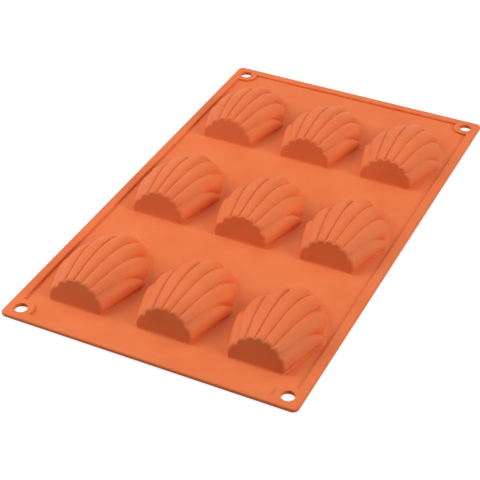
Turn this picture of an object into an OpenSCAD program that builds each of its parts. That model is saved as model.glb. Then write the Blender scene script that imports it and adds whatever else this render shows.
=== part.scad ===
// Silicone mould for nine shell-shaped cakes, lying upside down.
// Millimetres, +Z up. X runs across the mould and Y along it. The cups stand
// up from a thin recessed panel inside a raised rim, and their mouths open
// down at z = 0. Each cup is a scallop of seven ribs with a flat end that
// faces -Y. An eyelet in each corner takes a hanging cord or hook.

/* [Mould] */
// Length of the mould, along Y
mould_l = 300; // [292:1:340]
// Width of the mould, along X
mould_w = 175; // [171:1:200]
// Radius of the mould's outer corners
corner_r = 4.5; // [2:0.5:6]
// Thickness of the recessed panel between the cups
panel_t = 1.2; // [0.8:0.1:1.8]

/* [Rim] */
// Width of the raised rim
rim_w = 6; // [4:0.5:7]
// Thickness of the rim and the eyelets
rim_t = 2.5; // [2:0.1:4]
// Radius that rounds the rim's upper and lower outer edges
rim_edge_r = 1.1; // [0.4:0.1:1.2]
// Width of the sloped step from the rim down to the panel
rim_draft = 0.4; // [0.1:0.1:1]

/* [Eyelets] */
// Diameter of the hole in each eyelet
eyelet_hole_d = 7.5; // [4:0.5:9]
// Outer diameter of the raised boss round each hole
eyelet_boss_d = 15; // [13:0.5:18]
// Distance from each eyelet's centre to the mould's two nearest edges
eyelet_inset = 8.5; // [8:0.5:10]

/* [Cups] */
// Number of cups across the mould
cup_cols = 3; // [3:1:3]
// Number of cups along the mould
cup_rows = 3; // [3:1:3]
// Gap between the rim and the outer cups across the mould, as a share of the
// gap between two cups
side_gap_share = 0.576; // [0.2:0.001:1.5]
// The same share along the mould
end_gap_share = 0.669; // [0.2:0.0005:1.5]
// How far the cups stand from the middle of the mould, towards their flat ends
cup_shift = 1; // [0:0.1:2]
// Length of one cake cavity at its mouth
cavity_l = 65; // [60:0.5:74]
// Width of one cake cavity at its mouth
cavity_w = 45; // [40:0.5:50]
// Depth of one cake cavity, from the mouth to its deepest rib
cavity_d = 16.8; // [14:0.1:20]
// Thickness of the cup walls
cup_wall = 1.2; // [0.8:0.1:1.6]

/* [Flat end] */
// Width of a cup's flat end at its base, outside
face_w = 30.4; // [24:0.2:34]
// Angle by which the flat end leans back
face_lean = 18; // [8:1:24]
// Size of the bevel round the flat end, outside
face_bevel = 1.2; // [0.4:0.1:1.6]
// Size of the bevel round the flat end, inside the cavity
cavity_bevel = 0.4; // [0.2:0.1:0.8]

/* [Ribs] */
// Angles of the grooves round the flat end, from the middle rib to the base
groove_face_a = [9, 29, 51, 90]; // [5:1:90]
// Angles of the grooves' ends round the mouth, from the middle rib to the side
groove_rim_a = [14, 43, 78, 90]; // [10:1:90]
// Height of a rib above the grooves beside it, at the flat end
rib_relief = 1.3; // [0.6:0.1:1.6]
// How full the ribs are across, 2 for a parabola, higher for a flatter top
rib_fullness = 2.4; // [2:0.1:3]
// How much deeper the grooves get just before the ribs' rounded far ends
notch_depth = 1.4; // [0:0.1:1.8]
// How late the grooves get deeper, higher is later
notch_start = 5; // [3:0.5:8]
// How late they come up again to the panel, lower is later
notch_stop = 0.8; // [0.6:0.1:2]
// How far the middle rib's rounded far end stands out past its notches
middle_lobe_reach = 2.2; // [1:0.1:3.5]
// The same for the pair of ribs beside the middle one
inner_lobe_reach = 1.4; // [1:0.1:3.5]
// The same for the next pair
outer_lobe_reach = 1.8; // [1:0.1:3.5]
// The same for the pair of ribs along the cup's sides
side_lobe_reach = 1; // [1:0.1:3.5]
// How much the ribs climb from the flat end, as a share of their height
crest_rise = 0.42; // [0.2:0.01:0.5]
// How sharply the ribs turn down at their far ends, higher is sharper
crest_turn = 2.7; // [2:0.05:4]
// How square the ribs meet the panel, lower is squarer
crest_foot = 0.68; // [0.5:0.01:0.8]
// Distance from the flat end to the middle of the rounded outline
round_mid = 29; // [26:0.5:34]
// Outward bow of the side walls, in plan
side_bow = 0.5; // [0:0.1:1]

/* [Hidden] */

orange = "#ED7A4C";
$fn = 96;

// How far a cutting shape runs past the faces that it cuts
cut_over = 0.5;

// Plan of the recessed field inside the rim
field_l = mould_l - 2 * rim_w;
field_w = mould_w - 2 * rim_w;

// Outer size of one cup where it stands on the panel
cup_l = cavity_l + 2 * cup_wall;
cup_w = cavity_w + 2 * cup_wall;
crest_z = cavity_d + cup_wall - panel_t;

// Distance between cup centres. The gaps share out what the cups leave free of
// the field, so the cups keep their places in a larger or smaller mould.
cup_gap_x = (field_w - cup_cols * cup_w) / (cup_cols - 1 + 2 * side_gap_share);
cup_gap_y = (field_l - cup_rows * cup_l) / (cup_rows - 1 + 2 * end_gap_share);
cup_pitch_x = cup_w + cup_gap_x;
cup_pitch_y = cup_l + cup_gap_y;

// The mould's outer edge keeps a narrow upright land between its roundings
edge_r = min(rim_edge_r, 0.45 * rim_t);

// Ribs are numbered from -X to +X. The groove lines beside them are numbered
// from the left base line, 0, to the right base line, rib_count.
rib_count = 2 * len(groove_face_a) - 1;
rib_steps = 4;
length_steps = 9;
columns = rib_count * rib_steps;
rows = length_steps + 1;

// The flat end is the plane y = lean * z. The grooves end on an ellipse there,
// and on another ellipse round the mouth.
lean = tan(face_lean);
lean_step = sqrt(1 + lean * lean);
swell = max([for (s = [0:0.02:1]) crest_profile(s)]);
face_half_w = face_w / 2;
face_groove_h = (crest_z - rib_relief) / swell;
lobe_reach = [middle_lobe_reach, inner_lobe_reach, outer_lobe_reach, side_lobe_reach];

// The mouth's ellipse stands back from the cup's outer size by what the ribs'
// rounded ends add to it. The side rib adds a share of its reach, as it is widest
// a little ahead of its end.
side_reach_share = 0.8;
mouth_half_w = cup_w / 2 - side_reach_share * side_lobe_reach;
mouth_half_l = (cup_l - middle_lobe_reach - round_mid) / cos(groove_rim_a[0]);

function unit(v) = v / norm(v);
function flat(v) = unit([v.x, v.y, 0]);
function mix(a, b, t) = a + (b - a) * t;

// Extra depth of the notches between the ribs' ends, at a share s of the way
notch_peak = notch_start / (notch_start + notch_stop);
function notch(s) =
    notch_depth * pow(s / notch_peak, notch_start)
    * pow((1 - s) / (1 - notch_peak), notch_stop);

// Height of a groove along its length, as a share of its height at the flat end
function crest_profile(s) =
    (1 + crest_rise * s) * pow(1 - pow(s, crest_turn), crest_foot);

// Side of a groove line and its rank from the middle rib outwards
function side(k) = k < rib_count / 2 ? -1 : 1;
function rank(k) = abs(k - rib_count / 2) - 0.5;

// A point on groove line k, a share u of the way along it. Stations crowd
// towards the rounded end, where the rib turns down.
function groove(k, u) =
    let (
        s = sin(90 * u),
        a = groove_face_a[rank(k)],
        b = groove_rim_a[rank(k)],
        x0 = face_half_w * sin(a),
        z0 = face_groove_h * cos(a),
        y0 = lean * z0,
        x1 = mouth_half_w * sin(b),
        y1 = round_mid + mouth_half_l * cos(b),
        bow = 4 * side_bow * s * (1 - s) * sin(b)
    )
    [side(k) * (mix(x0, x1, s) + bow), mix(y0, y1, s), z0 * crest_profile(s)];

// Direction of a groove line, and of the rib to the right of it
function run(k, u) = groove(k, min(u + 0.01, 1)) - groove(k, max(u - 0.01, 0));
function rib_run(k, u) = run(k, u) + run(k + 1, u);

// Outward direction of rib k, level at its end on the panel
function rib_out(k, u) =
    let (n = cross(groove(k + 1, u) - groove(k, u), rib_run(k, u)))
    u < 1 ? unit(n) : flat(n);

// Outward direction at a groove line, level at the base lines
function groove_out(k, u) =
    k == 0 ? flat(rib_out(0, u)) :
    k == rib_count ? flat(rib_out(rib_count - 1, u)) :
    unit(rib_out(k - 1, u) + rib_out(k, u));

// Outward direction at a share t of the way across rib k
function wall_out(k, t, u) = unit(mix(groove_out(k, u), groove_out(k + 1, u), t));

// Outer surface of rib k: a round arch between its two groove lines, whose sides
// drop into the notches by its far end. The base lines have no notch.
function rib_point(k, t, u) =
    let (
        s = sin(90 * u),
        reach = lobe_reach[abs(k - (rib_count - 1) / 2)],
        fall = pow(abs(2 * t - 1), rib_fullness),
        arch = mix(rib_relief, reach, s * s) * (1 - fall),
        line = t < 0.5 ? k : k + 1,
        drop = line > 0 && line < rib_count ? notch(s) * fall : 0
    )
    mix(groove(k, u), groove(k + 1, u), t) + arch * rib_out(k, u) - drop * groove_out(line, u);

// The same surface moved in by a wall's thickness
function skin_point(k, t, u, inset) = rib_point(k, t, u) - inset * wall_out(k, t, u);

// A point of the surface slid along the rib to the plane of the flat end, which
// lies a distance back from the outer flat end
function end_point(k, t, inset, back) =
    let (
        p = skin_point(k, t, 0, inset),
        d = rib_run(k, 0),
        along = (lean * p.z + back * lean_step - p.y) / (d.y - lean * d.z)
    )
    p + along * (k + t > 0 && k + t < rib_count ? d : [d.x, d.y, 0]);

// The bevelled edge of the flat end lies a little inside that point
function bevel_point(k, t, inset, back, bevel) =
    let (n = wall_out(k, t, 0))
    end_point(k, t, inset, back) - bevel * unit([n.x, lean * n.z, n.z]);

// Column c of the skin counts from the left base line to the right one
function column_rib(c) = min(floor(c / rib_steps), rib_count - 1);
function column_share(c) = c / rib_steps - column_rib(c);

// One skin of a cup as rows of points: the bevelled flat end, then stations
// along the ribs, then the middle of the flat end's base
function skin(inset, bevel) = concat(
    [for (c = [0:columns]) bevel_point(column_rib(c), column_share(c), inset, inset, bevel)],
    [for (c = [0:columns]) end_point(column_rib(c), column_share(c), inset, inset + bevel)],
    [for (r = [1:length_steps], c = [0:columns])
        skin_point(column_rib(c), column_share(c), r / length_steps, inset)],
    [[0, inset * lean_step, 0]]
);

outer_skin = skin(0, face_bevel);
inner_skin = skin(cup_wall, cavity_bevel);
skin_size = len(outer_skin);

// Index of a skin's point, and the loop of points round its mouth
function at(r, c) = r * (columns + 1) + c;
mouth_loop = concat(
    [skin_size - 1],
    [for (r = [0:rows]) at(r, columns)],
    [for (c = [columns - 1:-1:1]) at(rows, c)],
    [for (r = [rows:-1:0]) at(r, 0)]
);
mouth_outline = [for (i = mouth_loop) [inner_skin[i].x, inner_skin[i].y]];

outer_faces = concat(
    [for (r = [0:rows - 1], c = [0:columns - 1]) [at(r, c), at(r + 1, c), at(r + 1, c + 1)]],
    [for (r = [0:rows - 1], c = [0:columns - 1]) [at(r, c), at(r + 1, c + 1), at(r, c + 1)]],
    [for (c = [0:columns - 1]) [skin_size - 1, at(0, c), at(0, c + 1)]]
);
inner_faces = [for (f = outer_faces) [f[0], f[2], f[1]] + skin_size * [1, 1, 1]];
lip_faces = [
    for (i = [0:len(mouth_loop) - 1], half = [0, 1])
    let (
        a = mouth_loop[i],
        b = mouth_loop[(i + 1) % len(mouth_loop)]
    )
    half == 0 ? [a, b, b + skin_size] : [a, b + skin_size, a + skin_size]
];

// Place of a cup's flat end, with columns and rows counted from the middle
function cup_place(col, row) =
    [col * cup_pitch_x, row * cup_pitch_y - cup_l / 2 - cup_shift];
function eyelet_place(sx, sy) =
    [sx * (mould_w / 2 - eyelet_inset), sy * (mould_l / 2 - eyelet_inset)];

// Half of a cross-section through the mould's edge zone: flat faces and an edge
// that is rounded above and below
module edge_profile(width) {
    square([width - edge_r, rim_t]);
    translate([0, edge_r])
        square([width, rim_t - 2 * edge_r]);
    for (z = [edge_r, rim_t - edge_r])
        translate([width - edge_r, z])
            circle(r = edge_r);
}

// The mould's whole outline at the rim's thickness, with its outer edges rounded
module outline_slab() {
    straight_l = mould_l - 2 * corner_r;
    straight_w = mould_w - 2 * corner_r;
    for (turn = [0, 180]) {
        rotate([0, 0, turn])
            translate([0, straight_l / 2, 0])
                rotate([90, 0, 0])
                    linear_extrude(straight_l)
                        edge_profile(mould_w / 2);
        rotate([0, 0, 90 + turn])
            translate([0, straight_w / 2, 0])
                rotate([90, 0, 0])
                    linear_extrude(straight_w)
                        edge_profile(mould_l / 2);
    }
    for (sx = [-1, 1], sy = [-1, 1])
        translate([sx * straight_w / 2, sy * straight_l / 2, 0])
            rotate_extrude()
                edge_profile(corner_r);
}

// The space over the panel, whose walls slope out towards the top
module field_space() {
    intersection() {
        translate([0, mould_l / 2, 0])
            rotate([90, 0, 0])
                linear_extrude(mould_l)
                    field_section(field_w / 2);
        translate([-mould_w / 2, 0, 0])
            rotate([90, 0, 90])
                linear_extrude(mould_w)
                    field_section(field_l / 2);
    }
}

module field_section(half) {
    over = rim_draft * (rim_t + cut_over - panel_t) / (rim_t - panel_t);
    polygon([
        [-half, -cut_over],
        [half, -cut_over],
        [half, panel_t],
        [half + over, rim_t + cut_over],
        [-half - over, rim_t + cut_over],
        [-half, panel_t]
    ]);
}

// The four round bosses, whose sides the rim and the panel meet
module boss_discs() {
    for (sx = [-1, 1], sy = [-1, 1])
        translate(eyelet_place(sx, sy))
            translate([0, 0, -cut_over])
                cylinder(d = eyelet_boss_d, h = rim_t + 2 * cut_over);
}

module eyelet(sx, sy) {
    color(orange)
    difference() {
        intersection() {
            outline_slab();
            translate(eyelet_place(sx, sy))
                cylinder(d = eyelet_boss_d, h = rim_t + cut_over);
        }
        translate(eyelet_place(sx, sy))
            translate([0, 0, -cut_over])
                cylinder(d = eyelet_hole_d, h = rim_t + 2 * cut_over);
    }
}

// One ribbed cup: the outer and inner skins joined by a flat lip on the panel
module cup(col, row) {
    color(orange)
    translate(cup_place(col, row))
        translate([0, 0, panel_t])
            polyhedron(
                points = concat(outer_skin, inner_skin),
                faces = concat(outer_faces, inner_faces, lip_faces),
                convexity = 12
            );
}

module panel() {
    half_cols = (cup_cols - 1) / 2;
    half_rows = (cup_rows - 1) / 2;
    color(orange)
    difference() {
        translate([-field_w / 2, -field_l / 2, 0])
            cube([field_w, field_l, panel_t]);
        boss_discs();
        for (col = [-half_cols:half_cols], row = [-half_rows:half_rows])
            translate(cup_place(col, row))
                translate([0, 0, -cut_over])
                    linear_extrude(panel_t + 2 * cut_over)
                        polygon(mouth_outline);
    }
}

module rim() {
    color(orange)
    difference() {
        outline_slab();
        field_space();
        boss_discs();
    }
}

module eyelet_front_left() { eyelet(-1, -1); }
module eyelet_front_right() { eyelet(1, -1); }
module eyelet_back_left() { eyelet(-1, 1); }
module eyelet_back_right() { eyelet(1, 1); }

module cup_front_left() { cup(-1, -1); }
module cup_front_middle() { cup(0, -1); }
module cup_front_right() { cup(1, -1); }
module cup_middle_left() { cup(-1, 0); }
module cup_middle_middle() { cup(0, 0); }
module cup_middle_right() { cup(1, 0); }
module cup_back_left() { cup(-1, 1); }
module cup_back_middle() { cup(0, 1); }
module cup_back_right() { cup(1, 1); }

panel();
rim();
eyelet_front_left();
eyelet_front_right();
eyelet_back_left();
eyelet_back_right();
cup_front_left();
cup_front_middle();
cup_front_right();
cup_middle_left();
cup_middle_middle();
cup_middle_right();
cup_back_left();
cup_back_middle();
cup_back_right();
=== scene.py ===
"""Dresses a silicone mould for nine shell-shaped cakes, lying upside down.

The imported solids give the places, and the sizes of the panel, the rim and the
eyelets. Every visible piece is a mesh of this script's own: nine ribbed cups
with their cavities, the panel that they stand on, the raised rim round it and
an eyelet in each corner. Sizes are in millimetres until a mesh is finished, and
then in metres.
"""

import logging
import math
from dataclasses import dataclass
from enum import Enum
from functools import cached_property
from typing import Any

import bmesh
import bpy
from mathutils import Matrix, Vector


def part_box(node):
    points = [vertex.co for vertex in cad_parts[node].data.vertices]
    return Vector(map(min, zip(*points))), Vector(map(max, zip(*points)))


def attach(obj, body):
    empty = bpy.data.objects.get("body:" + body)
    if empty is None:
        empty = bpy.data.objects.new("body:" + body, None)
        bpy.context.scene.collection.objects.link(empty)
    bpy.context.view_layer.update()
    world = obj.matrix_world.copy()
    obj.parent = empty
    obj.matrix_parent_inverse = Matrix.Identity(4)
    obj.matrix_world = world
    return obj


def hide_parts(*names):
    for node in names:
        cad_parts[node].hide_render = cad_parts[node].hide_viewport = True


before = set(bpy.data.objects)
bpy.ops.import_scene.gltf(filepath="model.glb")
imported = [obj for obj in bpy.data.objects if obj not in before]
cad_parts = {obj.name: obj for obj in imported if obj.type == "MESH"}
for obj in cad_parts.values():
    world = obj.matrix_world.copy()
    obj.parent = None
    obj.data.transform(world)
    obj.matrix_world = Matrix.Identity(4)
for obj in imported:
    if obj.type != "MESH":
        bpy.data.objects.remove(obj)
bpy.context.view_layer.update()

# Metres in a millimetre
MM = 0.001
# Points that lie closer than this are one point, in millimetres
MERGE = 0.0005
UP = Vector((0.0, 0.0, 1.0))
WHITE = (1.0, 1.0, 1.0, 1.0)

log = logging.getLogger("mould")


class Row(Enum):
    """Rows of cups, from the end that the cups' flat faces look at."""

    FRONT = "front"
    MIDDLE = "middle"
    BACK = "back"


class Column(Enum):
    """Columns of cups, from -X to +X."""

    LEFT = "left"
    MIDDLE = "middle"
    RIGHT = "right"


class Corner(Enum):
    """Corners of the mould, as signs of X and Y."""

    FRONT_LEFT = (-1, -1)
    FRONT_RIGHT = (1, -1)
    BACK_LEFT = (-1, 1)
    BACK_RIGHT = (1, 1)


def mix(a: Any, b: Any, share: float) -> Any:
    """Returns the value or vector a share of the way from a to b."""
    return a + (b - a) * share


def level(v: Vector) -> Vector:
    """Returns the level unit vector that points the same way in plan."""
    return Vector((v.x, v.y, 0.0)).normalized()


def arc(radius: float, steps: int) -> list[tuple[float, float]]:
    """Works out a quarter of a circle that rounds a square corner.

    Args:
        radius: Radius of the rounding.
        steps: Number of steps along the quarter.

    Returns:
        Pairs of distances from the corner's two sides, the first from radius
        down to 0 and the second from 0 up to radius.
    """
    turns = [math.pi / 2 * i / steps for i in range(steps + 1)]
    return [(radius * (1 - math.sin(t)), radius * (1 - math.cos(t))) for t in turns]


def node_box(name: str) -> tuple[Vector, Vector]:
    """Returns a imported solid's lowest and highest corners, in millimetres."""
    low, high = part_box(name)
    return low / MM, high / MM


def bridge(bm: bmesh.types.BMesh, loops: list[list[bmesh.types.BMEdge]]) -> None:
    """Joins each closed loop of edges to the next with a band of faces.

    Args:
        bm: The mesh that holds the loops.
        loops: The loops, in order.
    """
    for first, second in zip(loops, loops[1:]):
        bmesh.ops.bridge_loops(bm, edges=first + second)


def to_mesh(
    name: str, bm: bmesh.types.BMesh, sharp_angle: float = 80.0
) -> bpy.types.Mesh:
    """Turns a finished shape in millimetres into a smooth mesh in metres.

    Args:
        name: Name of the mesh.
        bm: The shape. It is freed.
        sharp_angle: Edges that turn by more than this stay sharp, in degrees.

    Returns:
        The mesh.
    """
    bmesh.ops.scale(bm, vec=(MM, MM, MM), verts=bm.verts)
    bmesh.ops.recalc_face_normals(bm, faces=bm.faces)
    mesh = bpy.data.meshes.new(name)
    bm.to_mesh(mesh)
    bm.free()
    mesh.shade_smooth()
    mesh.set_sharp_from_angle(angle=math.radians(sharp_angle))
    return mesh


def add_piece(
    name: str, mesh: bpy.types.Mesh, node: str, finish: "MouldedSilicone"
) -> None:
    """Makes a piece of a mesh, with its finish and its place in the frame.

    Args:
        name: Name of the piece.
        mesh: Its mesh, in metres, where it belongs.
        node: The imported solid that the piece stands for.
        finish: The finish that covers it.
    """
    piece = bpy.data.objects.new(name, mesh)
    bpy.context.scene.collection.objects.link(piece)
    mesh.materials.append(finish.material())
    weigh = piece.modifiers.new("FlatFacesStayFlat", "WEIGHTED_NORMAL")
    weigh.keep_sharp = True
    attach(piece, "root")
    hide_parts(node)
    log.info("%s: %d faces", name, len(mesh.polygons))


def linear(code: str) -> tuple[float, float, float, float]:
    """Turns an sRGB hex code into the linear colour that a shader takes."""
    shares = [int(code[i : i + 2], 16) / 255 for i in (1, 3, 5)]
    red, green, blue = (
        share / 12.92 if share <= 0.04045 else ((share + 0.055) / 1.055) ** 2.4
        for share in shares
    )
    return red, green, blue, 1.0


def add_node(
    tree: bpy.types.NodeTree,
    kind: str,
    settings: dict[str, Any] | None = None,
    inputs: dict[str | int, Any] | None = None,
) -> bpy.types.Node:
    """Adds a node with its settings, values and links.

    Args:
        tree: The node tree that gets the node.
        kind: The node's type.
        settings: Properties of the node.
        inputs: A value or an output socket for each named or numbered input.

    Returns:
        The new node.
    """
    node = tree.nodes.new(kind)
    for name, value in (settings or {}).items():
        setattr(node, name, value)
    for name, value in (inputs or {}).items():
        if isinstance(value, bpy.types.NodeSocket):
            tree.links.new(value, node.inputs[name])
        else:
            node.inputs[name].default_value = value
    return node


@dataclass(frozen=True)
class MouldedSilicone:
    """Platinum-cured silicone rubber, pressed in a metal mould and pigmented.

    The pigment is even all through, and the surface has the metal mould's very
    fine blasted grain, so it is matte with a soft, wide sheen. It is pigmented
    so densely that no light comes through it.

    Attributes:
        name: Name of the material.
        colour: The pigment's usual colour.
        pale_colour: Its colour in the palest clouds.
        deep_colour: Its colour in the deepest clouds.
        ior: Index of refraction, typical of silicone rubber.
        sheen_level: How strong the sheen is. 0.5 would be a clean surface.
        roughness: Roughness of the sheen.
        roughness_spread: How far the clouds move the roughness either way.
        cloud_size: Size of the clouds in the pigment, in millimetres.
        cloud_detail: Number of finer layers in the clouds.
        cloud_edges: Noise values at which a cloud is deepest and palest.
        grain_size: Size of the blasted grain as drawn, in millimetres.
        grain_detail: Number of finer layers in the grain.
        grain_depth: Depth of the grain, in millimetres.
        grain_strength: Share of that depth that bends the light.
    """

    name: str = "moulded_silicone"
    colour: str = "#E57541"
    pale_colour: str = "#E77945"
    deep_colour: str = "#E2703D"
    ior: float = 1.41
    sheen_level: float = 0.3
    roughness: float = 0.56
    roughness_spread: float = 0.05
    cloud_size: float = 22.0
    cloud_detail: float = 3.0
    cloud_edges: tuple[float, float] = (0.3, 0.7)
    grain_size: float = 0.45
    grain_detail: float = 2.0
    grain_depth: float = 0.012
    grain_strength: float = 0.5

    def material(self) -> bpy.types.Material:
        """Returns the finish's material, made on first use."""
        return bpy.data.materials.get(self.name) or self._make()

    def _make(self) -> bpy.types.Material:
        """Builds the node tree.

        Returns:
            The new material.
        """
        made = bpy.data.materials.new(self.name)
        made.use_nodes = True
        tree = made.node_tree
        tree.nodes.clear()
        place = add_node(tree, "ShaderNodeTexCoord").outputs["Object"]

        # The pigment is mixed by machine, and shows only a faint clouding.
        clouds = add_node(
            tree,
            "ShaderNodeTexNoise",
            inputs={
                "Vector": place,
                "Scale": 1 / (self.cloud_size * MM),
                "Detail": self.cloud_detail,
            },
        ).outputs["Fac"]
        colour = add_node(tree, "ShaderNodeValToRGB", inputs={"Fac": clouds})
        ramp = colour.color_ramp
        ramp.elements[0].position, ramp.elements[1].position = self.cloud_edges
        ramp.elements[0].color = linear(self.deep_colour)
        ramp.elements[1].color = linear(self.pale_colour)
        ramp.elements.new(sum(self.cloud_edges) / 2).color = linear(self.colour)

        # The blasted grain is about 0.05 mm on the real one. It is drawn
        # coarser, so that it shows at all as a softening of the highlights.
        grain = add_node(
            tree,
            "ShaderNodeTexNoise",
            inputs={
                "Vector": place,
                "Scale": 1 / (self.grain_size * MM),
                "Detail": self.grain_detail,
            },
        ).outputs["Fac"]
        bump = add_node(
            tree,
            "ShaderNodeBump",
            inputs={
                "Height": grain,
                "Strength": self.grain_strength,
                "Distance": self.grain_depth * MM,
            },
        )
        rough = add_node(
            tree,
            "ShaderNodeMapRange",
            inputs={
                "Value": clouds,
                "To Min": self.roughness - self.roughness_spread,
                "To Max": self.roughness + self.roughness_spread,
            },
        )
        shader = add_node(
            tree,
            "ShaderNodeBsdfPrincipled",
            inputs={
                "Base Color": colour.outputs["Color"],
                "Roughness": rough.outputs["Result"],
                "Normal": bump.outputs["Normal"],
                "IOR": self.ior,
                "Specular IOR Level": self.sheen_level,
            },
        )
        add_node(tree, "ShaderNodeOutputMaterial", inputs={"Surface": shader.outputs[0]})
        return made


@dataclass(frozen=True)
class Scallop:
    """Surface of one ribbed cup, with the middle of its flat end's base at 0.

    The grooves between the ribs start on an ellipse round the flat end and end
    on an ellipse round the mouth. Each rib is a round arch between two grooves,
    which drop into notches between the ribs' rounded far ends. Ribs are counted
    from -X, and groove lines from the left base line. Values for each groove or
    rib run from the middle of the cup to its side.

    Attributes:
        length: Length over the panel, from the flat end to the far rib's tip.
        width: Width over the panel.
        height: Height of the middle rib over the panel.
        wall: Thickness of the wall.
        face_width: Width of the flat end over the panel.
        face_lean: How far the flat end leans back, in degrees.
        face_angles: Places of the groove lines round the flat end, in degrees
            from its top.
        mouth_angles: Their places round the mouth, in degrees from its far end.
        relief: How far a rib stands out of the grooves beside it.
        side_relief: The same for the two ribs next to the panel.
        fullness: Power that makes a rib's arch full in the middle.
        roundness: Power that rounds an arch's sides down into the grooves.
        notch_depth: Depth of the notch in each groove that has ribs on both sides.
        notch_start: Power that holds the notch back to the far end.
        notch_stop: Power that closes it again at the panel.
        lobe_reach: How far each rib's far end stands out.
        side_reach_share: Share of the side ribs' reach that the width takes in.
        crest_rise: Share by which the grooves climb along the cup.
        crest_turn: Power that holds back their way down.
        crest_foot: Power that steepens them where they meet the panel.
        crest_samples: Steps in which their highest place is looked for.
        round_mid: Distance from the flat end to the middle of the round mouth.
        side_bow: How far the groove lines bow out sideways half-way.
        slope_step: Step in the stations for finding a rib's direction.
    """

    length: float = 67.4
    width: float = 47.4
    height: float = 16.8
    wall: float = 1.2
    face_width: float = 30.4
    face_lean: float = 18.0
    face_angles: tuple[float, ...] = (9, 29, 51, 90)
    mouth_angles: tuple[float, ...] = (14, 43, 78, 90)
    relief: float = 1.5
    side_relief: float = 2.3
    fullness: float = 2.4
    roundness: float = 0.68
    notch_depth: tuple[float, ...] = (2.3, 2.3, 1.3)
    notch_start: float = 5.0
    notch_stop: float = 0.6
    lobe_reach: tuple[float, ...] = (2.2, 1.4, 1.8, 1.0)
    side_reach_share: float = 0.8
    crest_rise: float = 0.42
    crest_turn: float = 2.7
    crest_foot: float = 0.68
    crest_samples: int = 50
    round_mid: float = 29.0
    side_bow: float = 0.5
    slope_step: float = 0.01

    @property
    def ribs(self) -> int:
        """Returns the number of ribs."""
        return 2 * len(self.face_angles) - 1

    @property
    def lean(self) -> float:
        """Returns how far the flat end runs back for each step up."""
        return math.tan(math.radians(self.face_lean))

    @property
    def lean_step(self) -> float:
        """Returns the way along Y for each step square to the flat end."""
        return math.hypot(1.0, self.lean)

    def rank(self, line: int) -> int:
        """Returns a groove line's number as counted from the middle."""
        return int(abs(line - self.ribs / 2) - 0.5)

    def crest(self, s: float) -> float:
        """Returns a groove's height a share s along it, as a share of its start."""
        return (1 + self.crest_rise * s) * max(0.0, 1 - s**self.crest_turn) ** self.crest_foot

    def notch(self, line: int, s: float) -> float:
        """Returns how much deeper a groove between two ribs is a share s along it."""
        deepest = self.notch_start / (self.notch_start + self.notch_stop)
        start = (s / deepest) ** self.notch_start
        stop = ((1 - s) / (1 - deepest)) ** self.notch_stop
        return self.notch_depth[self.rank(line)] * start * stop

    @cached_property
    def groove_height(self) -> float:
        """Returns the middle grooves' height at the flat end."""
        steps = range(self.crest_samples + 1)
        swell = max(self.crest(step / self.crest_samples) for step in steps)
        return (self.height - self.relief) / swell

    def groove(self, line: int, u: float) -> Vector:
        """Finds a point on a groove line.

        Args:
            line: The groove line, from 0 to the number of ribs.
            u: Station, 0 at the flat end and 1 on the panel.

        Returns:
            The point.
        """
        s = math.sin(math.pi / 2 * u)
        side = -1 if line < self.ribs / 2 else 1
        a = math.radians(self.face_angles[self.rank(line)])
        b = math.radians(self.mouth_angles[self.rank(line)])
        round_l = self.length - self.lobe_reach[0] - self.round_mid
        half_l = round_l / math.cos(math.radians(self.mouth_angles[0]))
        half_w = self.width / 2 - self.side_reach_share * self.lobe_reach[-1]
        start_x = self.face_width / 2 * math.sin(a)
        start_z = self.groove_height * math.cos(a)
        bow = 4 * self.side_bow * s * (1 - s) * math.sin(b)
        return Vector(
            (
                side * (mix(start_x, half_w * math.sin(b), s) + bow),
                mix(self.lean * start_z, self.round_mid + half_l * math.cos(b), s),
                start_z * self.crest(s),
            )
        )

    def run(self, rib: int, u: float) -> Vector:
        """Returns the direction of a rib at a station, from the flat end on."""
        low, high = max(u - self.slope_step, 0.0), min(u + self.slope_step, 1.0)
        return sum(
            (self.groove(k, high) - self.groove(k, low) for k in (rib, rib + 1)), Vector()
        )

    def rib_out(self, rib: int, u: float) -> Vector:
        """Returns the outward direction of a rib, level where it meets the panel."""
        n = (self.groove(rib + 1, u) - self.groove(rib, u)).cross(self.run(rib, u))
        return n.normalized() if u < 1 else level(n)

    def groove_out(self, line: int, u: float) -> Vector:
        """Returns the outward direction at a groove, level at the base lines."""
        if line == 0:
            return level(self.rib_out(0, u))
        if line == self.ribs:
            return level(self.rib_out(self.ribs - 1, u))
        return (self.rib_out(line - 1, u) + self.rib_out(line, u)).normalized()

    def wall_out(self, rib: int, t: float, u: float) -> Vector:
        """Returns the outward direction a share t of the way across a rib."""
        return mix(self.groove_out(rib, u), self.groove_out(rib + 1, u), t).normalized()

    def skin(self, rib: int, t: float, u: float, inset: float) -> Vector:
        """Finds a point of the cup's surface.

        Args:
            rib: The rib.
            t: Share of the way across the rib.
            u: Station along it.
            inset: Depth under the outer surface.

        Returns:
            The point.
        """
        s = min(math.sin(math.pi / 2 * u), 1.0)
        reach = self.lobe_reach[abs(rib - (self.ribs - 1) // 2)]
        relief = self.side_relief if rib in (0, self.ribs - 1) else self.relief
        fall = 1 - (1 - abs(2 * t - 1) ** self.fullness) ** self.roundness
        rise = mix(relief, max(relief, reach), s * s) * (1 - fall)
        p = mix(self.groove(rib, u), self.groove(rib + 1, u), t)
        p += rise * self.rib_out(rib, u)
        line = rib if t < 0.5 else rib + 1
        if 0 < line < self.ribs:
            p -= self.notch(line, s) * fall * self.groove_out(line, u)
        return p - inset * self.wall_out(rib, t, u)

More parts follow.
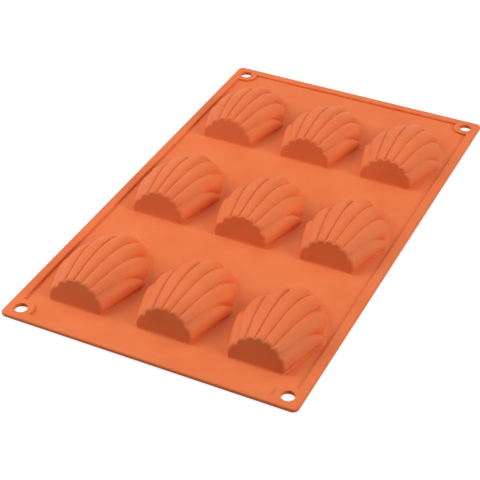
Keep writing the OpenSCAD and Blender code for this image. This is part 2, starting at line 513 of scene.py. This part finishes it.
    def end(self, rib: int, t: float, inset: float, back: float) -> Vector:
        """Slides a point of the surface along its rib to near the flat end.

        Args:
            rib: The rib.
            t: Share of the way across the rib.
            inset: Depth under the outer surface.
            back: Distance behind the outer flat end.

        Returns:
            The point.
        """
        p = self.skin(rib, t, 0.0, inset)
        d = self.run(rib, 0.0)
        way = (self.lean * p.z + back * self.lean_step - p.y) / (d.y - self.lean * d.z)
        at_base = rib + t <= 0 or rib + t >= self.ribs
        return p + way * (Vector((d.x, d.y, 0.0)) if at_base else d)

    def face_in(self, rib: int, t: float) -> Vector:
        """Returns the way inwards from the flat end's edge, within its plane."""
        n = self.wall_out(rib, t, 0.0)
        return -Vector((n.x, self.lean * n.z, n.z)).normalized()


@dataclass
class ShellCup:
    """One ribbed cup with its cavity, and the ring of panel round its foot.

    Each skin starts as a flat grid, whose columns run along the ribs and whose
    rows run up the flat end, round its edge and on to the far foot.

    Attributes:
        finish: The finish that covers it.
        panel: Thickness of the panel.
        shape: The surface of the cup.
        edge_r: Radius that rounds the flat end's edge.
        cavity_edge_r: The same inside the cavity.
        foot_r: Radius of the fillet where the cup meets the panel.
        mouth_r: Radius that rounds the edge of the mouth.
        mouth_steps: Steps in that rounding.
        collar: Width of the ring of panel.
        side_steps: Columns on each rib next to the panel.
        rib_steps: Columns on each other rib.
        face_steps: Rows up the flat end.
        arc_steps: Rows round its edge.
        stations: Rows along the ribs.
        first_station: Station of the first of them.
        crowding: Power that crowds columns and rows towards the panel.
    """

    finish: MouldedSilicone
    panel: float
    shape: Scallop = Scallop()
    edge_r: float = 1.2
    cavity_edge_r: float = 0.6
    foot_r: float = 0.8
    mouth_r: float = 0.5
    mouth_steps: int = 4
    collar: float = 1.0
    side_steps: int = 20
    rib_steps: int = 16
    face_steps: int = 8
    arc_steps: int = 6
    stations: int = 60
    first_station: float = 0.03
    crowding: float = 1.5

    @property
    def columns(self) -> int:
        """Returns the number of steps from one base line over to the other."""
        return 2 * self.side_steps + (self.shape.ribs - 2) * self.rib_steps

    @property
    def rows(self) -> int:
        """Returns the number of steps from the flat end's base to the far foot."""
        return self.face_steps + self.arc_steps + self.stations + 1

    def across(self, column: int) -> tuple[int, float]:
        """Finds where a column of the grid lies.

        The columns of a side rib crowd towards the panel.

        Args:
            column: The column, from 0 at the left base line.

        Returns:
            The rib and the share of the way across it.
        """
        last = self.shape.ribs - 1
        if column < self.side_steps:
            return 0, (column / self.side_steps) ** self.crowding
        if column >= self.columns - self.side_steps:
            return last, 1 - ((self.columns - column) / self.side_steps) ** self.crowding
        rib, step = divmod(column - self.side_steps, self.rib_steps)
        return rib + 1, step / self.rib_steps

    def point(
        self, column: int, row: int, inset: float, radius: float
    ) -> tuple[Vector, Vector]:
        """Finds a point of the outer or the inner skin.

        Args:
            column: The grid's column.
            row: The grid's row.
            inset: Depth of the skin under the outer surface.
            radius: Radius that rounds the flat end's edge.

        Returns:
            The point, with the panel's top at 0, and its level outward direction.
        """
        shape = self.shape
        rib, t = self.across(column)
        to_front = Vector((0.0, -1.0, 0.0))
        to_side = level(shape.wall_out(rib, t, 0.0))
        if row < self.face_steps:
            edge = shape.end(rib, t, inset, inset) + radius * shape.face_in(rib, t)
            left_x = shape.end(0, 0.0, inset, inset).x + radius
            base_x = mix(left_x, -left_x, column / self.columns)
            base = Vector((base_x, inset * shape.lean_step, 0.0))
            share = row / self.face_steps
            return mix(base, edge, share * share), to_front
        if row <= self.face_steps + self.arc_steps:
            step = row - self.face_steps
            inwards, back = arc(radius, self.arc_steps)[step]
            edge = shape.end(rib, t, inset, inset + back)
            turn = level(mix(to_front, to_side, step / self.arc_steps))
            return edge + inwards * shape.face_in(rib, t), turn
        left = (self.rows - row) / (self.stations + 1)
        u = 1 - (1 - self.first_station) * left**self.crowding
        return shape.skin(rib, t, u, inset), level(shape.wall_out(rib, t, u))

    def foot(self, height: float) -> float:
        """Returns how far the fillet at the foot stands out at a height."""
        gap = max(0.0, self.foot_r - height)
        return self.foot_r - math.sqrt(self.foot_r**2 - gap**2)

    def skin(
        self, bm: bmesh.types.BMesh, inset: float, radius: float, fillet: bool
    ) -> list[bmesh.types.BMEdge]:
        """Shapes a grid into the outer or the inner skin.

        Args:
            bm: The cup's mesh, with a vector layer "out".
            inset: Depth of the skin under the outer surface.
            radius: Radius that rounds the flat end's edge.
            fillet: Whether the skin flares out where it meets the panel.

        Returns:
            The edges of the skin's foot, in one closed loop.
        """
        out = bm.verts.layers.float_vector["out"]
        grid = bmesh.ops.create_grid(
            bm, x_segments=self.columns, y_segments=self.rows, size=1.0
        )["verts"]
        for v in grid:
            column = round((v.co.x + 1) / 2 * self.columns)
            row = round((v.co.y + 1) / 2 * self.rows)
            v.co, v[out] = self.point(column, row, inset, radius)
            v.co.z = max(v.co.z, 0.0)
            if fillet:
                v.co += v[out] * self.foot(v.co.z)
        bmesh.ops.remove_doubles(bm, verts=grid, dist=MERGE)
        skin = [v for v in grid if v.is_valid]
        return list({e for v in skin for e in v.link_edges if e.is_boundary})

    def flange(
        self,
        bm: bmesh.types.BMesh,
        loop: list[bmesh.types.BMEdge],
        outwards: float,
        down: float,
    ) -> list[bmesh.types.BMEdge]:
        """Extrudes a loop of edges outwards in plan and down.

        Args:
            bm: The cup's mesh.
            loop: The loop's edges.
            outwards: Level distance of the new loop from the old one.
            down: Distance of the new loop below the old one.

        Returns:
            The new loop's edges.
        """
        out = bm.verts.layers.float_vector["out"]
        new = bmesh.ops.extrude_edge_only(bm, edges=loop)["geom"]
        for v in (g for g in new if isinstance(g, bmesh.types.BMVert)):
            v.co += v[out] * outwards - UP * down
        return [g for g in new if isinstance(g, bmesh.types.BMEdge) and g.is_boundary]

    def ring(self, bm: bmesh.types.BMesh) -> list[bmesh.types.BMEdge]:
        """Draws the outer edge of the ring round the foot, and nothing else.

        Args:
            bm: The mesh that gets the loop, with a vector layer "out".

        Returns:
            The edges of one closed loop, at the height of the panel's top.
        """
        foot = self.skin(bm, 0.0, self.edge_r, fillet=True)
        collar = self.flange(bm, foot, self.collar, 0.0)
        kept = {v for e in collar for v in e.verts}
        bmesh.ops.delete(bm, geom=[v for v in bm.verts if v not in kept], context="VERTS")
        return collar

    def build(self) -> bmesh.types.BMesh:
        """Builds the cup with the middle of its flat end's base on the Z axis.

        Returns:
            The closed shape, whose mouth lies at z = 0.
        """
        bm = bmesh.new()
        bm.verts.layers.float_vector.new("out")
        foot = self.skin(bm, 0.0, self.edge_r, fillet=True)
        collar = self.flange(bm, foot, self.collar, 0.0)
        collar = self.flange(bm, collar, 0.0, self.panel)

        mouth = self.skin(bm, self.shape.wall, self.cavity_edge_r, fillet=False)
        mouth = self.flange(bm, mouth, 0.0, self.panel - self.mouth_r)
        rounding = reversed(arc(self.mouth_r, self.mouth_steps))
        steps = [(self.mouth_r - a, b) for a, b in rounding]
        for (down, outwards), (next_down, next_outwards) in zip(steps, steps[1:]):
            mouth = self.flange(bm, mouth, next_outwards - outwards, next_down - down)
        bridge(bm, [collar, mouth])
        bmesh.ops.translate(bm, vec=UP * self.panel, verts=bm.verts)
        return bm

    def dress(self, places: dict[str, Vector]) -> None:
        """Adds a cup at each place, from one mesh.

        Args:
            places: Where the middle of the flat end's base is, for each solid.
        """
        pattern = to_mesh("shell_cup", self.build())
        for node, place in places.items():
            mesh = pattern.copy()
            mesh.name = node
            mesh.transform(Matrix.Translation(place * MM))
            add_piece(f"shell_{node}", mesh, node, self.finish)
        bpy.data.meshes.remove(pattern)


@dataclass
class Plan:
    """Sizes and outlines that the rim, the eyelets and the panel share.

    Attributes:
        half_w: Half the mould's width.
        half_l: Half its length.
        thick: Height of the rim and the eyelets.
        panel: Thickness of the panel.
        field_x: Half the width of the panel's field inside the rim.
        field_y: Half the length of the field.
        eyelet_r: Radius of an eyelet's boss.
        eyelet_x: Distance of the eyelets from the mould's middle along X.
        eyelet_y: The same along Y.
        draft: How far the rim's inner side leans outwards on its way up.
        step_r: Radius that rounds the rim's and the bosses' inner upper edge.
        step_steps: Steps in that rounding, and in those of the holes' edges.
        edge_r: Radius that rounds the mould's outer edge, above and below.
        edge_steps: Steps in each of those two roundings.
        corner_r: Radius of the mould's corners in plan.
        corner_steps: Steps in each corner.
        hole_r: Radius of the eyelets' holes.
        segments: Steps round an eyelet.
    """

    half_w: float
    half_l: float
    thick: float
    panel: float
    field_x: float
    field_y: float
    eyelet_r: float
    eyelet_x: float
    eyelet_y: float
    draft: float = 0.4
    step_r: float = 0.45
    step_steps: int = 4
    edge_r: float = 1.1
    edge_steps: int = 6
    corner_r: float = 3.6
    corner_steps: int = 16
    hole_r: float = 3.75
    segments: int = 96

    @classmethod
    def from_solids(cls) -> "Plan":
        """Reads the mould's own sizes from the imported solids.

        Returns:
            The sizes.
        """
        rim = node_box("rim")[1]
        panel = node_box("panel")[1]
        low, high = node_box("eyelet_back_right")
        return cls(
            half_w=rim.x,
            half_l=rim.y,
            thick=rim.z,
            panel=panel.z,
            field_x=panel.x,
            field_y=panel.y,
            eyelet_r=(high.x - low.x) / 2,
            eyelet_x=(low.x + high.x) / 2,
            eyelet_y=(low.y + high.y) / 2,
        )

    def inner_loop(
        self, bm: bmesh.types.BMesh, inset: float, radius: float, z: float, inside: bool
    ) -> list[bmesh.types.BMEdge]:
        """Draws the line between the panel's field and the rim and eyelets.

        Args:
            bm: The mesh that gets the loop.
            inset: How far the straight sides lie outside the field.
            radius: Radius of the arcs round the eyelets.
            z: Height of the loop.
            inside: Whether the arcs pass the eyelets on the field's side, as the
                panel's edge does, or on the rim's side.

        Returns:
            The edges of one closed loop.
        """
        x, y = self.field_x + inset, self.field_y + inset
        centre = Matrix.Translation((self.eyelet_x, self.eyelet_y, z))
        ring = bmesh.ops.create_circle(
            bm, segments=self.segments, radius=radius, matrix=centre
        )["verts"]
        edges = {e for v in ring for e in v.link_edges}
        for place, normal in (((x, 0, 0), (1, 0, 0)), ((0, y, 0), (0, 1, 0))):
            verts = {v for e in edges for v in e.verts}
            cut = bmesh.ops.bisect_plane(
                bm, geom=[*verts, *edges], plane_co=place, plane_no=normal, dist=MERGE
            )["geom"]
            edges = {g for g in cut if isinstance(g, bmesh.types.BMEdge)}
        verts = {v for e in edges for v in e.verts}
        if inside:
            extra = [v for v in verts if v.co.x > x + MERGE or v.co.y > y + MERGE]
        else:
            extra = [v for v in verts if v.co.x < x - MERGE and v.co.y < y - MERGE]
        bmesh.ops.delete(bm, geom=extra, context="VERTS")
        quarter = [v for v in verts if v.is_valid]
        side = min(quarter, key=lambda v: (abs(v.co.x - x), v.co.y))
        end = min(quarter, key=lambda v: (abs(v.co.y - y), v.co.x))
        lines = [*{e for v in quarter for e in v.link_edges}]
        lines.append(bm.edges.new((side, bm.verts.new((x, 0.0, z)))))
        lines.append(bm.edges.new((end, bm.verts.new((0.0, y, z)))))
        for axis in "XY":
            verts = {v for e in lines for v in e.verts}
            geom = [*verts, *{e for v in verts for e in v.link_edges}]
            geom += bmesh.ops.mirror(bm, geom=geom, axis=axis, merge_dist=MERGE)["geom"]
            lines = [g for g in geom if g.is_valid and isinstance(g, bmesh.types.BMEdge)]
        verts = {v for e in lines for v in e.verts}
        return list({e for v in verts for e in v.link_edges})

    def outer_loop(
        self, bm: bmesh.types.BMesh, inset: float, z: float
    ) -> list[bmesh.types.BMEdge]:
        """Draws the mould's outline, with its rounded corners.

        Args:
            bm: The mesh that gets the loop.
            inset: How far the loop lies inside the outline.
            z: Height of the loop.

        Returns:
            The edges of one closed loop.
        """
        size = Matrix.Diagonal((self.half_w - inset, self.half_l - inset, 1.0, 1.0))
        place = Matrix.Translation((0.0, 0.0, z)) @ size
        corners = bmesh.ops.create_grid(
            bm, x_segments=1, y_segments=1, size=1.0, matrix=place
        )["verts"]
        rounded = bmesh.ops.bevel(
            bm,
            geom=corners,
            offset=self.corner_r - inset,
            segments=self.corner_steps,
            profile=0.5,
            affect="VERTICES",
            material=-1,
        )["verts"]
        verts = {v for v in (*corners, *rounded) if v.is_valid}
        faces = list({f for v in verts for f in v.link_faces})
        bmesh.ops.delete(bm, geom=faces, context="FACES_ONLY")
        return list({e for v in verts for e in v.link_edges})


@dataclass
class Rim:
    """The raised rim, whose arms run round the eyelets.

    Attributes:
        finish: The finish that covers it.
        plan: The mould's sizes and outlines.
    """

    finish: MouldedSilicone
    plan: Plan

    def build(self) -> bmesh.types.BMesh:
        """Builds the rim from loops round its section.

        Returns:
            The closed shape.
        """
        bm = bmesh.new()
        plan = self.plan
        inner = [
            plan.inner_loop(bm, 0.0, plan.eyelet_r, z, inside=False)
            for z in (0.0, plan.panel)
        ]
        for down, back in arc(plan.step_r, plan.step_steps):
            inset = back + plan.draft * (1 - down / (plan.thick - plan.panel))
            radius = plan.eyelet_r - back
            inner.append(plan.inner_loop(bm, inset, radius, plan.thick - down, inside=False))
        rounding = arc(plan.edge_r, plan.edge_steps)
        outer = [plan.outer_loop(bm, a, b) for a, b in rounding]
        outer += [plan.outer_loop(bm, a, plan.thick - b) for a, b in reversed(rounding)]
        bridge(bm, inner)
        bridge(bm, outer)
        for first, second in ((inner[0], outer[0]), (inner[-1], outer[-1])):
            bmesh.ops.triangle_fill(bm, use_beauty=True, edges=first + second)
        return bm

    def dress(self) -> None:
        """Adds the rim to the scene."""
        add_piece("raised_rim", to_mesh("raised_rim", self.build()), "rim", self.finish)


@dataclass
class Eyelet:
    """A round raised boss with a hole through it, in one corner.

    Attributes:
        finish: The finish that covers it.
        plan: The mould's sizes and outlines.
        corner: The corner that it is in.
        hole_edge_r: Radius that rounds the hole's edges, above and below.
    """

    finish: MouldedSilicone
    plan: Plan
    corner: Corner
    hole_edge_r: float = 0.4

    def build(self) -> bmesh.types.BMesh:
        """Spins the boss's section round its hole.

        Returns:
            The closed shape.
        """
        bm = bmesh.new()
        plan = self.plan
        width = plan.eyelet_r - plan.hole_r
        square = bmesh.ops.create_grid(bm, x_segments=1, y_segments=1, size=0.5)["verts"]
        bmesh.ops.translate(bm, vec=(0.5, 0.5, 0.0), verts=square)
        bmesh.ops.scale(bm, vec=(width, plan.thick, 1.0), verts=square)
        bmesh.ops.translate(bm, vec=(plan.hole_r, 0.0, 0.0), verts=square)
        hole_side = [v for v in square if v.co.x < plan.hole_r + MERGE]
        top_outer = [v for v in square if v not in hole_side and v.co.y > plan.panel]
        for verts, radius in ((hole_side, self.hole_edge_r), (top_outer, plan.step_r)):
            bmesh.ops.bevel(
                bm,
                geom=verts,
                offset=radius,
                segments=plan.step_steps,
                profile=0.5,
                affect="VERTICES",
                material=-1,
            )
        bmesh.ops.delete(bm, geom=bm.faces[:], context="FACES_ONLY")
        bmesh.ops.rotate(bm, matrix=Matrix.Rotation(math.pi / 2, 3, "X"), verts=bm.verts)
        bmesh.ops.spin(
            bm,
            geom=bm.verts[:] + bm.edges[:],
            axis=UP,
            cent=(0.0, 0.0, 0.0),
            angle=2 * math.pi,
            steps=plan.segments,
            use_merge=True,
        )
        side_x, side_y = self.corner.value
        place = Vector((side_x * plan.eyelet_x, side_y * plan.eyelet_y, 0.0))
        bmesh.ops.translate(bm, vec=place, verts=bm.verts)
        return bm

    def dress(self) -> None:
        """Adds the eyelet to the scene."""
        node = f"eyelet_{self.corner.name.lower()}"
        add_piece(f"boss_{node}", to_mesh(node, self.build()), node, self.finish)


@dataclass
class Panel:
    """The thin panel between the cups, cut out round their feet and the eyelets.

    Attributes:
        finish: The finish that covers it.
        plan: The mould's sizes and outlines.
        cup: The cup, whose ring of panel the cut-outs follow.
        places: Where the middle of each cup's flat end's base is.
    """

    finish: MouldedSilicone
    plan: Plan
    cup: ShellCup
    places: list[Vector]

    def build(self) -> bmesh.types.BMesh:
        """Fills the field between the outlines and gives it its thickness.

        Returns:
            The closed shape.
        """
        bm = bmesh.new()
        bm.verts.layers.float_vector.new("out")
        hole = self.cup.ring(bm)
        plan = self.plan
        for place in self.places:
            geom = [*{v for e in hole for v in e.verts}, *hole]
            copy = bmesh.ops.duplicate(bm, geom=geom)["geom"]
            verts = [g for g in copy if isinstance(g, bmesh.types.BMVert)]
            bmesh.ops.translate(bm, vec=place + UP * plan.panel, verts=verts)
        bmesh.ops.delete(bm, geom=list({v for e in hole for v in e.verts}), context="VERTS")
        plan.inner_loop(bm, 0.0, plan.eyelet_r, plan.panel, inside=True)
        bmesh.ops.triangle_fill(bm, use_beauty=True, edges=bm.edges[:], normal=UP)
        under = bmesh.ops.extrude_face_region(bm, geom=bm.faces[:], use_keep_orig=True)["geom"]
        verts = [g for g in under if isinstance(g, bmesh.types.BMVert)]
        bmesh.ops.translate(bm, vec=-UP * plan.panel, verts=verts)
        return bm

    def dress(self) -> None:
        """Adds the panel to the scene."""
        mesh = to_mesh("recessed_panel", self.build())
        add_piece("recessed_panel", mesh, "panel", self.finish)


@dataclass(frozen=True)
class SoftBox:
    """A square soft lamp that looks at the mould.

    Attributes:
        name: Name of the lamp.
        azimuth: Direction that it stands in, from +X towards +Y, in degrees.
        elevation: Its height over the floor, in degrees.
        power: Its power in watts.
        distance: Distance from the mould, in millimetres.
        size: Length of its sides, in millimetres.
    """

    name: str
    azimuth: float
    elevation: float
    power: float
    distance: float = 1600.0
    size: float = 800.0

    def hang(self) -> None:
        """Adds the lamp to the scene."""
        a, e = math.radians(self.azimuth), math.radians(self.elevation)
        away = Vector((math.cos(a) * math.cos(e), math.sin(a) * math.cos(e), math.sin(e)))
        data = bpy.data.lights.new(self.name, "AREA")
        data.shape, data.size, data.energy = "SQUARE", self.size * MM, self.power
        box = bpy.data.objects.new(self.name, data)
        box.location = away * self.distance * MM
        box.rotation_euler = away.to_track_quat("Z", "Y").to_euler()
        bpy.context.scene.collection.objects.link(box)


@dataclass
class Studio:
    """Pale floor, soft lamps, and the camera at the photograph's place.

    Attributes:
        azimuth: Direction of the camera, from -Y towards +X, in degrees.
        elevation: Its height over the floor, in degrees.
        roll: Its turn about its own line of sight, in degrees.
        distance: Its distance from the target, in millimetres.
        target: The point on the floor that it looks at, in millimetres.
        sensor: Width of its sensor, in millimetres.
        focal_share: Its focal length as a share of the picture's width.
        near: Distance at which its view starts, in metres.
        far: Distance at which its view ends, in metres.
        floor_size: Length of the floor's sides, in millimetres.
        paper: Colour of the floor.
        paper_glow: What is added to the floor as it is seen, which makes it white.
        lamps: The lamps.
    """

    azimuth: float = 25.453
    elevation: float = 36.451
    roll: float = 0.437
    distance: float = 787.882
    target: Vector = Vector((-0.821, -31.077, 0.0))
    sensor: float = 36.0
    focal_share: float = 1357.501 / 480
    near: float = 0.01
    far: float = 50.0
    floor_size: float = 6000.0
    paper: str = "#A0A0A0"
    paper_glow: float = 0.76
    lamps: tuple[SoftBox, ...] = (
        SoftBox("OverheadSoftBox", azimuth=90.0, elevation=75.0, power=14.7, size=2000.0),
        SoftBox("LeftSoftBox", azimuth=180.0, elevation=38.0, power=13.6),
        SoftBox("RightSoftBox", azimuth=0.0, elevation=30.0, power=14.5),
        SoftBox(
            "FrontLeftCard",
            azimuth=218.0,
            elevation=16.0,
            power=0.7,
            distance=600.0,
            size=350.0,
        ),
    )

    def camera(self) -> None:
        """Places the camera on a sphere round its target, with its slight roll."""
        a, e, r = (math.radians(v) for v in (self.azimuth, self.elevation, self.roll))
        back = Vector((math.sin(a) * math.cos(e), -math.cos(a) * math.cos(e), math.sin(e)))
        level_right = UP.cross(back).normalized()
        level_up = back.cross(level_right)
        right = math.cos(r) * level_right + math.sin(r) * level_up
        up = math.cos(r) * level_up - math.sin(r) * level_right
        pose = Matrix((right, up, back)).transposed().to_4x4()
        pose.translation = (self.target + self.distance * back) * MM
        data = bpy.data.cameras.new("PhotoCamera")
        data.sensor_width = self.sensor
        data.lens = self.focal_share * self.sensor
        data.clip_start, data.clip_end = self.near, self.far
        eye = bpy.data.objects.new("PhotoCamera", data)
        eye.matrix_world = pose
        bpy.context.scene.collection.objects.link(eye)
        bpy.context.scene.camera = eye

    def seen_ray(self, tree: bpy.types.NodeTree) -> bpy.types.NodeSocket:
        """Adds a switch that is 1 for what is seen or mirrored, and 0 for light.

        Args:
            tree: The node tree that gets the switch.

        Returns:
            The switch's output.
        """
        ray = add_node(tree, "ShaderNodeLightPath").outputs
        seen = ray["Is Camera Ray"]
        for other in ("Is Glossy Ray", "Is Transmission Ray"):
            seen = add_node(
                tree, "ShaderNodeMath", {"operation": "MAXIMUM"}, {0: seen, 1: ray[other]}
            ).outputs[0]
        return seen

    def world(self) -> None:
        """Shows white behind the mould, and gives no light of its own."""
        world = bpy.data.worlds.new("Surroundings")
        world.use_nodes = True
        tree = world.node_tree
        tree.nodes.clear()
        sky = add_node(
            tree,
            "ShaderNodeBackground",
            inputs={"Color": WHITE, "Strength": self.seen_ray(tree)},
        )
        add_node(tree, "ShaderNodeOutputWorld", inputs={"Surface": sky.outputs[0]})
        bpy.context.scene.world = world

    def floor(self) -> None:
        """Lays a matte sheet, whose glow shows it white, with soft shadows on it."""
        made = bpy.data.materials.new("matte_pale_paper")
        made.use_nodes = True
        tree = made.node_tree
        tree.nodes.clear()
        paper = add_node(tree, "ShaderNodeBsdfDiffuse", inputs={"Color": linear(self.paper)})
        strength = add_node(
            tree,
            "ShaderNodeMath",
            {"operation": "MULTIPLY"},
            {0: self.seen_ray(tree), 1: self.paper_glow},
        ).outputs[0]
        glow = add_node(
            tree, "ShaderNodeEmission", inputs={"Color": WHITE, "Strength": strength}
        )
        both = add_node(
            tree, "ShaderNodeAddShader", inputs={0: paper.outputs[0], 1: glow.outputs[0]}
        )
        add_node(tree, "ShaderNodeOutputMaterial", inputs={"Surface": both.outputs[0]})

        bm = bmesh.new()
        bmesh.ops.create_grid(bm, x_segments=1, y_segments=1, size=self.floor_size * MM / 2)
        mesh = bpy.data.meshes.new("Floor")
        bm.to_mesh(mesh)
        bm.free()
        mesh.materials.append(made)
        sheet = bpy.data.objects.new("Floor", mesh)
        bpy.context.scene.collection.objects.link(sheet)

    def build(self) -> None:
        """Sets up the whole studio."""
        bpy.context.scene.view_settings.view_transform = "Standard"
        self.camera()
        self.floor()
        self.world()
        for box in self.lamps:
            box.hang()


def cup_places() -> dict[str, Vector]:
    """Finds where the middle of each cup's flat end's base is.

    Returns:
        The place in millimetres, for each cup's solid.
    """
    places: dict[str, Vector] = {}
    for row in Row:
        for column in Column:
            node = f"cup_{row.value}_{column.value}"
            low, high = node_box(node)
            places[node] = Vector(((low.x + high.x) / 2, low.y, 0.0))
    return places


def main() -> None:
    """Builds the mould, its floor, lights and camera, and reports each piece."""
    logging.basicConfig(level=logging.INFO, format="%(message)s")
    Studio().build()
    silicone = MouldedSilicone()
    plan = Plan.from_solids()
    cup = ShellCup(silicone, plan.panel)
    places = cup_places()
    cup.dress(places)
    Panel(silicone, plan, cup, list(places.values())).dress()
    Rim(silicone, plan).dress()
    for corner in Corner:
        Eyelet(silicone, plan, corner).dress()


if __name__ == "__main__":
    main()
